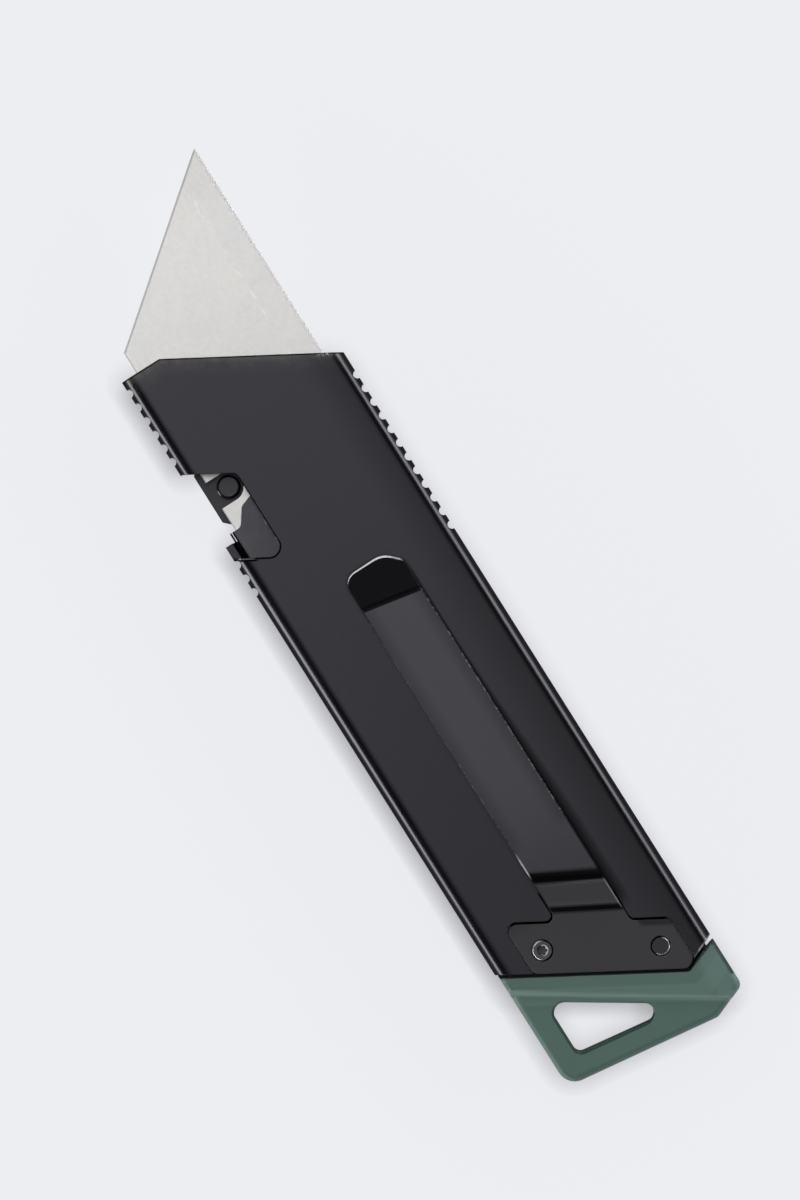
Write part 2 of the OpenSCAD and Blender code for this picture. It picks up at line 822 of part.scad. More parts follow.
runner_rivet_spots = [[button_x - rivet_x, 0], [button_x + rivet_x + 0.4, 0]];
glide_spots = [
    [glide_front_x, carrier_y - glide_inset],
    [slanted(carrier_rear_x + 1.4 * glide_inset, carrier_y - glide_inset), carrier_y - glide_inset],
    [glide_front_x, top_plate_y + glide_inset],
    [slanted(carrier_rear_x + 1.4 * glide_inset, top_plate_y + glide_inset), top_plate_y + glide_inset]];

// Smooth plastic buttons that keep the carrier off the sleeve's face
module glide_buttons() {
    color([0.14, 0.14, 0.15])
        for (p = glide_spots)
            translate([p.x, p.y, z_plate_top])
                cylinder(h = carrier_t + top_gap - 0.1, r = glide_r);
}

// Plastic block under the tray: its boss runs in the track plate's slot and guides the button's post
module runner() {
    z0 = z_track + fit;
    color([0.16, 0.16, 0.17])
        difference() {
            union() {
                slab(z0, z_plate_low)
                    polygon(rounded([
                        [button_x - runner_l / 2, -runner_w / 2, 1.2],
                        [button_x + runner_l / 2, -runner_w / 2, 1.2],
                        [button_x + runner_l / 2, runner_w / 2, 1.2],
                        [button_x - runner_l / 2, runner_w / 2, 1.2]]));
                slab(z_lip_in, z0 + eps)
                    round_slot(button_x - boss_l / 2, button_x + boss_l / 2, slot_w - 2 * play);
            }
            // Way of the post through the floor
            translate([button_x, 0, z0])
                cube([post_size.x + 2 * fit, post_size.y + 2 * fit, 6], center = true);
            // Pocket for the post's head and the spring
            translate([button_x - 5, -post_head.y / 2 - play, z_runner_floor])
                cube([11, post_head.y + 2 * play, 6]);
            // Seat of the spring's root under the tray
            translate([button_x - runner_l / 2 - 1, -spring_w / 2 - play, z_plate_low - spring_t - fit])
                cube([5, spring_w + 2 * play, 2]);
            // Way of the spring's tooth
            translate([button_x + tooth_x, 0, z_track])
                cube([spring_t + 2 * play, tooth_w + 2 * play, 6], center = true);
            for (p = runner_rivet_spots)
                translate([p.x, p.y, 0])
                    cylinder(h = far, r = rivet_r + 0.02);
        }
}

module runner_rivets() {
    color([0.5, 0.5, 0.5])
        for (p = runner_rivet_spots)
            translate([p.x, p.y, z_track + fit])
                cylinder(h = z_blade_low - z_track - fit, r = rivet_r);
}

// Leaf spring held at its rear end: it presses the post down, and its tooth locks in the track plate
module lock_spring() {
    x0 = button_x - runner_l / 2 + 0.3;
    top = z_plate_low - fit;
    low = z_spring + spring_t;
    color([0.55, 0.55, 0.56])
        difference() {
            union() {
                across(spring_w)
                    polygon(rounded(sheet_outline([
                        [x0, top],
                        [button_x - 4.2, top, 0.3],
                        [button_x - 2.6, low, 0.3],
                        [button_x + tooth_x + spring_t / 2, low, 0],
                        [button_x + tooth_x + spring_t / 2, z_lip_in + play]], spring_t)));
                translate([button_x + tooth_x - spring_t / 2, -tooth_w / 2, z_lip_in + play])
                    cube([spring_t, tooth_w, z_track - z_lip_in + play]);
            }
            translate([button_x - rivet_x, 0, 0])
                cylinder(h = far, r = rivet_r + 0.02);
        }
}

module thumb_button() {
    rib_pitch = (button_l - 3) / (button_ribs + 1);
    color([0.2, 0.2, 0.21])
        difference() {
            hull() {
                slab(0.4, pad_gap)
                    button_plan(0);
                slab(0, 0.4)
                    button_plan(0.4);
            }
            for (i = [0:button_ribs])
                translate([button_x - button_l / 2 + 1.5 + rib_pitch * i, 0, -0.25])
                    rotate([90, 0, 0])
                        cylinder(h = 2 * button_w, r = 0.65, center = true);
        }
}

module button_plan(inset) {
    x = button_l / 2 - inset;
    y = button_w / 2 - inset;
    translate([button_x, 0])
        polygon(rounded([[-x, -y, 2.2], [x, -y, 2.2], [x, y, 2.2], [-x, y, 2.2]]));
}

module button_post() {
    z_head = z_runner_floor + fit / 2;
    color([0.45, 0.45, 0.46])
        translate([button_x, 0, 0]) {
            translate([-post_size.x / 2, -post_size.y / 2, pad_gap])
                cube([post_size.x, post_size.y, z_head - pad_gap + eps]);
            translate([-post_head.x / 2, -post_head.y / 2, z_head])
                cube([post_head.x, post_head.y, post_head_t]);
        }
}

// ---- Blade release ----

// Spring leaf under the blade: its ear shows in the window, its pin stands in the blade's notch
module release_leaf() {
    color([0.27, 0.27, 0.29])
        slab(leaf_top - leaf_t, leaf_top)
            difference() {
                polygon(rounded([
                    [leaf_root_x - leaf_end, leaf_y[0], 1],
                    [pin_x - ear_step, leaf_y[0]],
                    [pin_x + ear_lead, leaf_y[0] + ear_step, 1],
                    [pin_x + ear_lead, carrier_y, 0.5],
                    [pin_x - ear_back, carrier_y, 0.2],
                    [pin_x - ear_back - 1.25, leaf_y[1], 0.3],
                    [leaf_root_x - leaf_end, leaf_y[1], 1]]));
                for (y = leaf_rivets_y)
                    translate([leaf_root_x, y])
                        circle(rivet_r + 0.08);
                translate([pin_x, pin_y])
                    circle(rivet_r);
            }
}

module notch_pin() {
    rim = 0.25;
    color([0.4, 0.4, 0.41])
        translate([pin_x, pin_y, 0]) {
            translate([0, 0, leaf_top - leaf_t])
                cylinder(h = leaf_t + eps, r = rivet_r);
            rotate_extrude()
                polygon([
                    [0, leaf_top],
                    [pin_d / 2, leaf_top],
                    [pin_d / 2, z_blade_top - rim],
                    [pin_d / 2 - rim, z_blade_top],
                    [0, z_blade_top]]);
        }
}

module leaf_rivets() {
    color([0.5, 0.5, 0.5])
        for (y = leaf_rivets_y)
            translate([leaf_root_x, y, 0]) {
                translate([0, 0, leaf_top - leaf_t - 0.08])
                    cylinder(h = z_blade_low - leaf_top + leaf_t + 0.08, r = rivet_r);
                translate([0, 0, leaf_top - leaf_t - 0.38])
                    cylinder(h = 0.3, r = rivet_r + 0.4);
            }
}

sleeve();
track_plate();
track_rivets();
end_cap();
pocket_clip();
clip_screw();
screw_insert();
clip_rivet();
blade_carrier();
blade();
glide_buttons();
runner();
runner_rivets();
lock_spring();
thumb_button();
button_post();
release_leaf();
notch_pin();
leaf_rivets();
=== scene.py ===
# %% [markdown]
# # A slim utility knife, finish by finish
# The knife's pieces already exist at their true size and place: a folded steel sleeve, a sliding
# carrier with a trapezoid blade, a spring clip, a moulded end cap and the small parts of the lock and
# the blade release. This lesson gives them their surfaces, and sets the light and the camera.
# Everything is in metres, with the knife along X, its blade tip towards +X and its clip on top.

# %% Load the knife
import math

import bmesh
import bpy
import numpy as np
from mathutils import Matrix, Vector


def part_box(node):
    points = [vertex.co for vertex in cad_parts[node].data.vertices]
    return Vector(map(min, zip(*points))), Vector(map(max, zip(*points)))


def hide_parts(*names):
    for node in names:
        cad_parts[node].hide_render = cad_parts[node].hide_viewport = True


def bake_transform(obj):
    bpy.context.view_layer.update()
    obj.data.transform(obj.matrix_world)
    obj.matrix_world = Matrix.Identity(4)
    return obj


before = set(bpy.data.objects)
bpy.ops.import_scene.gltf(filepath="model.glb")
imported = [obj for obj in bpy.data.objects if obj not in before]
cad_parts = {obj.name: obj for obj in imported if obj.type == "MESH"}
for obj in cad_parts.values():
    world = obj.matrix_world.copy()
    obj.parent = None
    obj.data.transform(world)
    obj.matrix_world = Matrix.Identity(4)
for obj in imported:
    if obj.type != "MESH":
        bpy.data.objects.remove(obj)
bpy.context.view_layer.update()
mm = 0.001

# %% [markdown]
# ## Places on the knife
# Patterns need to know where they are: how far the face is from the floor, where the sides lie, where
# the blade ends. Most are measured from the pieces, so that they follow the knife if its size changes.
# The rear end of the sleeve is slanted back from the spine to the heel, a corner near the cutting
# side, and from there slanted forwards again; a box can't tell that, so it is given here.

# %% Measure the places
sleeve_low, sleeve_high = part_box("sleeve")
blade_low, blade_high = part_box("blade")
cap_low, cap_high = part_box("end_cap")
clip_low, clip_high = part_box("pocket_clip")
half_width = sleeve_high.y
face_z = sleeve_high.z
bend_radius = 1.8 * mm             # of the sheet, where the face turns down into the sides
bend_start = half_width - bend_radius
sleeve_length = 78.9 * mm          # along the spine
slant_slope = math.tan(math.radians(30))
heel_slope = math.tan(math.radians(23.7))
heel_y = -7.3 * mm
tail_x = sleeve_high.x - sleeve_length
heel_x = tail_x - (half_width - heel_y) * slant_slope
print("face at", round(face_z / mm, 2), "mm, half width", round(half_width / mm, 2), "mm")
print("sleeve with its heel is", round((sleeve_high.x - sleeve_low.x) / mm, 1), "mm long")

# %% [markdown]
# ## The camera
# The knife is seen from straight above with its tip turned to the upper left. A long lens from a metre
# away keeps the sides of the sleeve parallel. An orthographic camera would do so too, but a long lens
# leaves a trace of perspective, and with it a soft change of gloss along the flat face.

# %% Set up the camera
lean = math.radians(32.2)          # between the knife's length and upright
view_height = 135.1 * mm           # how much the camera sees, at the height of the face
camera_distance = 1.0
sensor = 36.0
centre = Vector((1.665, -1.99, 0)) * mm

camera_data = bpy.data.cameras.new("camera")
camera_data.sensor_width = sensor
camera_data.lens = sensor * camera_distance / view_height
camera_data.clip_start = 0.05
camera_data.clip_end = 10
camera = bpy.data.objects.new("camera", camera_data)
camera.location = centre + Vector((0, 0, face_z + camera_distance))
camera.rotation_euler = (0, 0, -math.pi / 2 - lean)
bpy.context.scene.collection.objects.link(camera)
bpy.context.scene.camera = camera
print("lens", round(camera_data.lens), "mm")

# %% [markdown]
# ## Numbers that vary over a surface
# A finish is a tree of nodes. Wiring each Math node by hand hides what is being worked out, so a small
# class stands for one socket, and Python's own operators add the Math nodes. `1 - wear * 0.5` then
# reads as what it is. A mask is such a number too, 1 where something shows and 0 where it doesn't, and
# most masks here are a distance put through one of the four methods at the end of the class.

# %% A socket that can be added and multiplied
class Field:
    """One output socket of a node tree; an operator on it adds a Math node."""

    def __init__(self, tree, socket):
        self.tree = tree
        self.socket = socket

    def math(self, operation, *values):
        return self.tree.node("Math", {"operation": operation}, dict(enumerate(values)))

    def __add__(self, other):
        return self.math("ADD", self, other)

    def __radd__(self, other):
        return self.math("ADD", other, self)

    def __sub__(self, other):
        return self.math("SUBTRACT", self, other)

    def __rsub__(self, other):
        return self.math("SUBTRACT", other, self)

    def __mul__(self, other):
        return self.math("MULTIPLY", self, other)

    def __rmul__(self, other):
        return self.math("MULTIPLY", other, self)

    def __truediv__(self, other):
        return self.math("DIVIDE", self, other)

    def __pow__(self, power):
        return self.math("POWER", self, power)

    def __abs__(self):
        return self.math("ABSOLUTE", self)

    def at_least(self, other):
        return self.math("MAXIMUM", self, other)

    def at_most(self, other):
        return self.math("MINIMUM", self, other)

    def parts(self):
        """The x, y and z of a vector, as three numbers."""
        split = self.tree.node("SeparateXYZ", None, {0: self}).socket.node
        return [Field(self.tree, out) for out in split.outputs]

    def rise(self, low, high):
        """0 below low, 1 above high, and an even S between them."""
        return self.tree.node("MapRange", {"interpolation_type": "SMOOTHSTEP"},
                              {0: self, 1: low, 2: high, 3: 0.0, 4: 1.0})

    def fall(self, low, high):
        """1 below low, 0 above high."""
        return 1 - self.rise(low, high)

    def between(self, start, full, fading, gone):
        """0 up to start, 1 from full to fading, and 0 again from gone on."""
        return self.rise(start, full) * self.fall(fading, gone)

    def line(self, half, gone):
        """1 within half of zero on either side, 0 from gone on."""
        return abs(self).fall(half, gone)


print("a Field can:", ", ".join(name for name in vars(Field) if not name.startswith("_")))

# %% [markdown]
# ## A tree that is built by calls
# Materials and the world's light are both node trees. One method adds any kind of node, sets it, and
# links or writes its inputs, so that each line of a finish names one node and what goes into it.

# %% The tree
class Tree:
    """A node tree that is built by calls instead of by hand."""

    def __init__(self, nodes_of):
        nodes_of.use_nodes = True
        self.tree = nodes_of.node_tree

    def node(self, kind, settings=None, values=None, out=0):
        """Adds a node: its settings first, then a value or a link for each named or numbered input."""
        made = self.tree.nodes.new("ShaderNode" + kind)
        for key, value in (settings or {}).items():
            setattr(made, key, value)
        for key, value in (values or {}).items():
            self.set(made.inputs[key], value)
        return Field(self, made.outputs[out])

    def set(self, entry, value):
        """Links a field to an input, or writes a plain value there."""
        if isinstance(value, Field):
            self.tree.links.new(value.socket, entry)
        else:
            entry.default_value = value

    def mix(self, share, a, b):
        """Colour a where share is 0, colour b where it is 1."""
        return self.node("Mix", {"data_type": "RGBA"}, {0: share, 6: a, 7: b}, out=2)


print("a Tree can:", ", ".join(name for name in vars(Tree) if not name.startswith("_")))

# %% [markdown]
# ## A finish and its patterns
# A finish is one Principled shader and the patterns that feed it: noise in a chosen size, noise drawn
# out along an axis, rings from a lathe, edges from the Bevel node, and bump. Dirt, wear and bare metal
# differ from the coat in several values at once. Feeding each value by itself would take a mix for
# every one; here a second, plain shader is laid over the first by a mask, which keeps it to one line.

# %% The finish
class Finish(Tree):
    """A material, its Principled shader, and the patterns that feed it."""

    def __init__(self, name, **constants):
        self.material = bpy.data.materials.new(name)
        super().__init__(self.material)
        self.shader = self.tree.nodes["Principled BSDF"]
        self.place = self.node("TexCoord", out="Object")
        self.facing = self.node("TexCoord", out="Normal")
        self.surface = Field(self, self.shader.outputs[0])
        for name, value in constants.items():
            self.feed(name.replace("_", " "), value)

    def feed(self, entry, value):
        self.set(self.shader.inputs[entry], value)

    def stretched(self, x, y, z):
        """The place on the piece with each axis scaled, so that a pattern draws out along the others."""
        return self.node("Mapping", None, {"Vector": self.place, "Scale": (x, y, z)})

    def noise(self, size, detail=2.0, roughness=0.5, at=None):
        """Soft random values from 0 to 1, in lumps about size metres across."""
        return self.node("TexNoise", None, {"Vector": at or self.place, "Scale": 1 / size,
                                            "Detail": detail, "Roughness": roughness})

    def rings(self, middle, size):
        """Random rings about an upright axis through middle, each about size metres wide."""
        x, y, z = self.place.parts()
        flat = self.node("CombineXYZ", None, {0: x - middle.x, 1: y - middle.y})
        out = self.node("VectorMath", {"operation": "LENGTH"}, {0: flat}, out="Value")
        return self.noise(size, at=self.node("CombineXYZ", None, {0: out}))

    def edges(self, radius):
        """1 where the surface turns sharply within radius, 0 on flat stretches; and the rounded normal."""
        soft = self.node("Bevel", {"samples": 4}, {"Radius": radius})
        sharp = self.node("NewGeometry", out="Normal")
        along = self.node("VectorMath", {"operation": "DOT_PRODUCT"}, {0: soft, 1: sharp}, out="Value")
        return (1 - along).rise(0.004, 0.12), soft

    def bump(self, height, distance, over=None):
        """Tilts the normal by a height field whose full step is distance metres."""
        values = {"Height": height, "Distance": distance}
        if over is not None:
            values["Normal"] = over
        return self.node("Bump", None, values)

    def beside(self, share, constants):
        """Shows a second, plain shader over what is there, where share is 1."""
        second = self.node("BsdfPrincipled", None, {k.replace("_", " "): v for k, v in constants.items()})
        self.surface = self.node("MixShader", None, {0: share, 1: self.surface, 2: second})
        self.set(self.tree.nodes["Material Output"].inputs["Surface"], self.surface)


print("a Finish can:", ", ".join(name for name in vars(Finish) if not name.startswith("_")))

# %% [markdown]
# ## Blackened sheet steel
# The sleeve, the clip and the sheet pieces inside carry a thin black coat: nearly black, satin, with a fine
# grain that only shows in the gloss. Handling leaves faint hairlines along the knife. Colour alone would
# look like paper, so most of the work goes into roughness and bump. Three plain shaders go with the coat: a
# dull near-black one that paints shade on faces and edges, a black one for painted deep shade, and bare
# steel, which shows wear and also paints highlights.

# %% A black coat
def plain(colour, roughness, **more):
    """The constants of a plain shader, ready for beside()."""
    return {"Base_Color": (*colour, 1), "Roughness": roughness, **more}


# a dull near-black shader and a black one paint shade; bare steel shows wear and also paints highlights
dull_painted_shade = plain((0.007, 0.0067, 0.0078), 0.85, Specular_IOR_Level=0.06)
painted_deep_shade = plain((0.002, 0.002, 0.0024), 0.9, Specular_IOR_Level=0.0)
bare_wear_and_highlight = plain((0.72, 0.72, 0.74), 0.5, Metallic=1.0)


def shades(tone, spread):
    """A darker and a lighter colour around a tone."""
    return [(*[part * k for part in tone], 1) for k in (1 - spread, 1 + spread)]


def black_coat(name, tone, roughness, grain, scratch=0.6, rim=0.14 * mm):
    """Black coat over steel: grain is the size of its pores, scratch the depth of its hairlines."""
    coat = Finish(name, IOR=1.53, Specular_Tint=(0.9, 0.88, 1.0, 1))
    coat.edge, soft = coat.edges(rim)
    cloud = coat.noise(9 * mm, detail=3.0)
    pores = coat.noise(grain, detail=2.0, roughness=0.6)
    hairs = coat.noise(0.22 * mm, detail=2.0, roughness=0.7, at=coat.stretched(0.02, 1.0, 1.0))
    coat.feed("Base Color", coat.mix(cloud, *shades(tone, 0.25)))
    coat.feed("Roughness", roughness + (cloud - 0.5) * 0.08 + (hairs - 0.5) * 0.08)
    coat.feed("Normal", coat.bump(pores + hairs * scratch, 0.0012 * mm, over=soft))
    return coat


sleeve_coat = black_coat("sleeve_coat", (0.0032, 0.003, 0.004), 0.21, 0.09 * mm)
print("coat's shader has IOR", round(sleeve_coat.shader.inputs["IOR"].default_value, 2))

# %% [markdown]
# ## The sleeve's mouth
# The mouth is where the sleeve is rubbed most, so its coat is thin there and lets the steel through as
# a warm grey. Such wear can be painted on an image, but a mask worked out from the distance behind the
# mouth follows the shape by itself. The mouth has a slanted stretch and a straight one, and the nearer
# of the two counts. A coarse noise makes the wear patchy.

# %% The rubbed mouth
x, y, z = sleeve_coat.place.parts()
thin_coat = plain((0.15, 0.14, 0.125), 0.45, Metallic=0.6)
slanted_mouth_x = sleeve_high.x - 3.75 * mm
behind_mouth = (y * slant_slope + slanted_mouth_x - x).at_most(sleeve_high.x - x)
patches = sleeve_coat.noise(1.5 * mm, detail=3.0).rise(0.2, 0.8)
rubbed = behind_mouth.fall(0.1 * mm, 2.6 * mm) * patches * 0.3
near_mouth = behind_mouth.fall(0.2 * mm, 1.0 * mm) * 0.2
sleeve_coat.beside(rubbed + near_mouth, thin_coat)
print("mouth's slant crosses the middle", round((sleeve_high.x - slanted_mouth_x) / mm, 2), "mm back")

# %% [markdown]
# ## The sleeve's face and bends
# Along the cutting side the face is painted darker before it turns down, and the bend shows one bright line
# between two dark ones. The room's light draws the bright line; the dark ones are finer than soft light can
# draw, so they are masks of painted shade on the distance from the middle. Beside the clip's arm a dark
# band is painted for the arm's dark flank mirrored in the satin face, strongest at the arm, and wider to
# the rear where the arm stands higher.

# %% The face towards the cutting side, and beside the clip
arm_middle = -1.22 * mm
arm_half = 3.55 * mm
ramp_x = -32 * mm                  # where the ramp reaches the arm
flare_x = 4 * mm                   # where the arm flares up
into_bend = y * -1 - bend_start
# painted shade: the face darkens before the cutting-side bend
face_shade_before_bend = into_bend.between(-4.2 * mm, 0.5 * mm, 0.5 * mm, 0.8 * mm)
sleeve_coat.beside(face_shade_before_bend * 0.36, dull_painted_shade)
# painted reflection: a dark band beside the clip's arm stands for its mirrored flank
beside_arm = (arm_middle - arm_half) - y
strip_width = 0.35 * mm + x.fall(ramp_x, ramp_x + 28 * mm) * (1.1 * mm)
along_arm = x.between(ramp_x - 9.5 * mm, ramp_x - 7 * mm, flare_x - 1 * mm, flare_x + 2 * mm)
painted_arm_reflection = (1 - beside_arm / strip_width).at_least(0) ** 0.75
painted_arm_reflection = painted_arm_reflection * beside_arm.rise(-0.3 * mm, -0.1 * mm) * along_arm
sleeve_coat.beside(painted_arm_reflection * 0.95, painted_deep_shade)
# painted shade: dark lines on both sides of the bend's bright line
above_glint = into_bend.between(0.35 * mm, 0.65 * mm, 0.75 * mm, 0.9 * mm)
below_glint = into_bend.between(1.25 * mm, 1.35 * mm, 1.6 * mm, 1.7 * mm)
sleeve_coat.beside(above_glint.at_least(below_glint) * 0.45, painted_deep_shade)
print("clip's arm lies", round((arm_half - arm_middle) / mm, 2), "mm towards the cutting side")

# %% [markdown]
# ## The sleeve's sides and sheared edges
# The side walls hold the grip grooves. Painted shade makes them dull and nearly black all over, so that
# they don't mirror the table; their mask is the way the wall faces. Sheared edges get a dark outline of
# painted shade. Its mask comes from the Bevel node: where the rounded normal and the true one differ, there
# is an edge. The outline is lighter round the clip's base, since the base fills those edges.
# Along the mouth the distance gives an even line instead. At the mouth's cutting side the coat has
# chipped, and a fine noise cut off high up makes bare grains there.

# %% Sides and edges in painted shade, chips
side_wall_shade = abs(sleeve_coat.facing.parts()[1]).rise(0.7, 0.82)
# painted shade: the side walls are dull and nearly black
sleeve_coat.beside(side_wall_shade, dull_painted_shade)
# painted shade: a dark outline on sheared edges and along the mouth
shade_ahead_of_ramp = sleeve_coat.edge * x.rise(ramp_x, ramp_x + 2 * mm)
edge_shade = sleeve_coat.edge * 0.4 + shade_ahead_of_ramp * 0.5
mouth_rim_shade = behind_mouth.fall(0.13 * mm, 0.22 * mm)
sleeve_coat.beside(edge_shade.at_least(mouth_rim_shade) * 0.9, painted_deep_shade)
chip_place = behind_mouth.fall(0.2 * mm, 0.65 * mm)
chip_place = chip_place * into_bend.between(-1.9 * mm, 0.2 * mm, 0.5 * mm, 0.8 * mm)
chips = sleeve_coat.noise(0.16 * mm, detail=2.0).rise(0.53, 0.62)
sleeve_coat.beside(chip_place * chips * 0.6, bare_wear_and_highlight)
print("the cutting side's bend begins", round(bend_start / mm, 1), "mm from the middle")

# %% [markdown]
# ## The window's outline
# The window is cut through the face and the spine side, so that a thumb reaches the release inside.
# Seen from above its rim is a thin, dark, even line of painted shade. The Bevel node's mask would be too
# fine to show, so the line is drawn from distances: to the straight inner side, to the centre of the round
# corner, and to the slanted rear side, whose line steps back on the sheet's bend and has a faint painted
# highlight there.

# %% The window's outline
window_y = half_width - 5.46 * mm
rear_x = 15.35 * mm                # the slanted rear side, 5 mm from the inner side
rear_y = window_y + 5 * mm
corner_r = 1.25 * mm
corner_y = window_y + corner_r
corner_x = rear_x + (corner_y - rear_y) * slant_slope + corner_r / math.cos(math.radians(30))
line_start_x = 14 * mm
line_end_x = 23.5 * mm
fade = 0.5 * mm
# painted shade: a dark line along the window's inner side
inner_shade_line = (y - window_y + 0.05 * mm).line(0.06 * mm, 0.12 * mm)
inner_shade_line = inner_shade_line * x.between(line_start_x, line_start_x + fade, line_end_x - fade, line_end_x)
sleeve_coat.beside(inner_shade_line * 0.9, painted_deep_shade)
# painted shade round the corner and along the slanted rear side
from_corner = ((x - corner_x) ** 2 + (y - corner_y) ** 2) ** 0.5
round_shade_line = (from_corner - corner_r - 0.05 * mm).line(0.07 * mm, 0.14 * mm)
round_shade_line = round_shade_line * x.fall(corner_x - 0.3 * mm, corner_x - 0.1 * mm)
past_rear = x - (rear_x + (y - rear_y) * slant_slope)
into_spine_bend = y - bend_start
slant_shade_line = (past_rear + 0.06 * mm).line(0.08 * mm, 0.16 * mm)
slant_shade_line = slant_shade_line * into_spine_bend.between(-1.8 * mm, -1.6 * mm, -0.5 * mm, -0.1 * mm)
bend_shade_line = (past_rear + 0.3 * mm).line(0.08 * mm, 0.16 * mm) * into_spine_bend.rise(-0.7 * mm, -0.3 * mm)
sleeve_coat.beside(round_shade_line.at_least(slant_shade_line).at_least(bend_shade_line), painted_deep_shade)
# painted highlight: a faint glint where the rear side crosses the bend
on_bend = into_spine_bend.between(-0.5 * mm, 0.5 * mm, 0.8 * mm, 1.0 * mm)
painted_bend_glint = (past_rear + 0.1 * mm).line(0.04 * mm, 0.1 * mm) * on_bend
sleeve_coat.beside(painted_bend_glint * 0.16, bare_wear_and_highlight)
print("window's round corner at", round(corner_x / mm, 2), round(corner_y / mm, 2), "mm")

# %% [markdown]
# ## The sleeve's heel
# The heel is the sleeve's rearmost corner. Its edge gets a painted highlight: a faint light strip, with one
# short stretch that is brighter. Both are masks on the distance in front of the heel's slanted end. With
# that the sleeve's finish is complete. The piece keeps its mesh, and only what fills its slots changes.

# %% The heel's painted highlight, and the finish put on
def wear(piece_names, finish):
    """Puts the finish on every material slot of these pieces."""
    for name in piece_names:
        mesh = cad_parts[name].data
        if not mesh.materials:
            mesh.materials.append(finish.material)
        for i in range(len(mesh.materials)):
            mesh.materials[i] = finish.material
    print(finish.material.name, "on", ", ".join(piece_names))


past_heel = heel_y - y
before_end = x - (heel_x + past_heel * heel_slope)
# painted highlight along the heel's edge, brighter on one short stretch
heel_highlight = before_end.fall(0.12 * mm, 0.24 * mm) * past_heel.rise(1.1 * mm, 1.4 * mm)
brighter_stretch = past_heel.between(2.0 * mm, 2.2 * mm, 2.8 * mm, 3.0 * mm)
sleeve_coat.beside(heel_highlight * (brighter_stretch * 0.35 + 0.1), bare_wear_and_highlight)
wear(["sleeve"], sleeve_coat)

# %% [markdown]
# ## The clip
# The clip is spring steel with the same coat. Its bends are in the mesh; the finish paints shade over the
# top of the ramp, with a painted highlight line behind it. Painted shade also dulls the coat towards the
# arm's sides and on the ramp, and the sides are darkest at both ends of the arm. The base lies flush in the
# sleeve's face and is a shade greyer than the arm.

# %% The clip's coat and its bend
clip_coat = black_coat("clip_coat", (0.0032, 0.003, 0.0036), 0.2, 0.09 * mm)
x, y, z = clip_coat.place.parts()
across_arm = abs(y - arm_middle)
above_face = z - face_z
on_arm = x.between(ramp_x + 2 * mm, ramp_x + 4 * mm, flare_x - 2 * mm, flare_x)
# painted shade towards the arm's sides
clip_coat.beside(across_arm.rise(1.6 * mm, 3.5 * mm) * on_arm * 0.3, dull_painted_shade)
# painted shade near the ramp
ramp_shade = x.fall(ramp_x - 3 * mm, ramp_x + 10 * mm) * above_face.rise(0.1 * mm, 1 * mm)
clip_coat.beside(ramp_shade * 0.25, dull_painted_shade)
# painted shade at the arm's sides, darkest at both ends
at_side = across_arm.rise(arm_half - 0.2 * mm, arm_half - 0.12 * mm)
rear_dark = x.fall(ramp_x, ramp_x + 8 * mm) * 0.45
front_dark = x.rise(flare_x - 8 * mm, flare_x - 2 * mm) * 0.5
past_base = x.rise(ramp_x - 6 * mm, ramp_x - 4 * mm)
clip_coat.beside(at_side * past_base * (0.15 + rear_dark + front_dark), dull_painted_shade)
crease_slope = 0.52
crease_x = ramp_x - 2.5 * mm
past_crease = x - y * crease_slope - crease_x
# painted highlight: a light line behind the top of the ramp
raised = above_face.rise(1 * mm, 1.5 * mm)
crease_highlight = past_crease.between(-0.55 * mm, -0.35 * mm, -0.15 * mm, 0.05 * mm) * raised
crease_highlight = crease_highlight * (0.1 + (y * -1).rise(-2 * mm, 3 * mm) * 0.5)
clip_coat.beside(crease_highlight, plain((0.055, 0.053, 0.06), 0.6))
# painted shade over the top of the ramp
crease_shade = past_crease.between(0, 0.25 * mm, 1.1 * mm, 1.8 * mm) * raised
clip_coat.beside(crease_shade * 0.85, painted_deep_shade)
flush = above_face.fall(0.004 * mm, 0.03 * mm)
clip_coat.beside(flush * 0.42, plain((0.036, 0.037, 0.037), 0.4, Specular_IOR_Level=0.5))
print("arm's middle lies", round(arm_middle / mm, 2), "mm from the knife's")

# %% [markdown]
# ## Where the clip is rubbed, and where it meets the cap
# Pockets rub a clip: bright specks run along both edges of the arm. The edges at the arm's root and the rim
# of the flared tip get a painted highlight. The specks are a noise cut off high up and shown only at the
# arm's sides; the rim is the part of the tip that faces forwards. The base is darker along two of its outer
# edges, in painted shade.

# %% Specks, painted highlights at the root and rim, painted shade at the base
specks = clip_coat.noise(0.35 * mm, detail=2.0, roughness=0.5).rise(0.5, 0.6)
speck_share = 0.04 + y.fall(-3 * mm, 0) * 0.08
clip_coat.beside(at_side * on_arm * specks * speck_share, bare_wear_and_highlight)
past_ramp = x - ramp_x
# painted highlight on the arm's edges at its root
spine_root_glint = past_ramp.between(-1 * mm, 0, 1 * mm, 3 * mm) * y.rise(0, 1 * mm)
edge_root_glint = past_ramp.between(-9 * mm, -8.5 * mm, -6 * mm, -4.5 * mm) * y.fall(-2 * mm, -1 * mm)
clip_coat.beside(at_side * (spine_root_glint * 0.55 + edge_root_glint * 0.2), bare_wear_and_highlight)
# painted shade along the base's shoulder and end
shoulder_x = tail_x + 6.5 * mm
to_shoulder = shoulder_x - (half_width - y) * slant_slope - x
shoulder_shade = to_shoulder.between(-0.05 * mm, 0.05 * mm, 0.45 * mm, 1.0 * mm)
from_base_end = y - clip_low.y
shoulder_shade = shoulder_shade * from_base_end.fall(3.0 * mm, 3.4 * mm) * 0.5
end_shade = abs(from_base_end).fall(0, 0.4 * mm) * 0.3
clip_coat.beside(shoulder_shade.at_least(end_shade) * flush, painted_deep_shade)
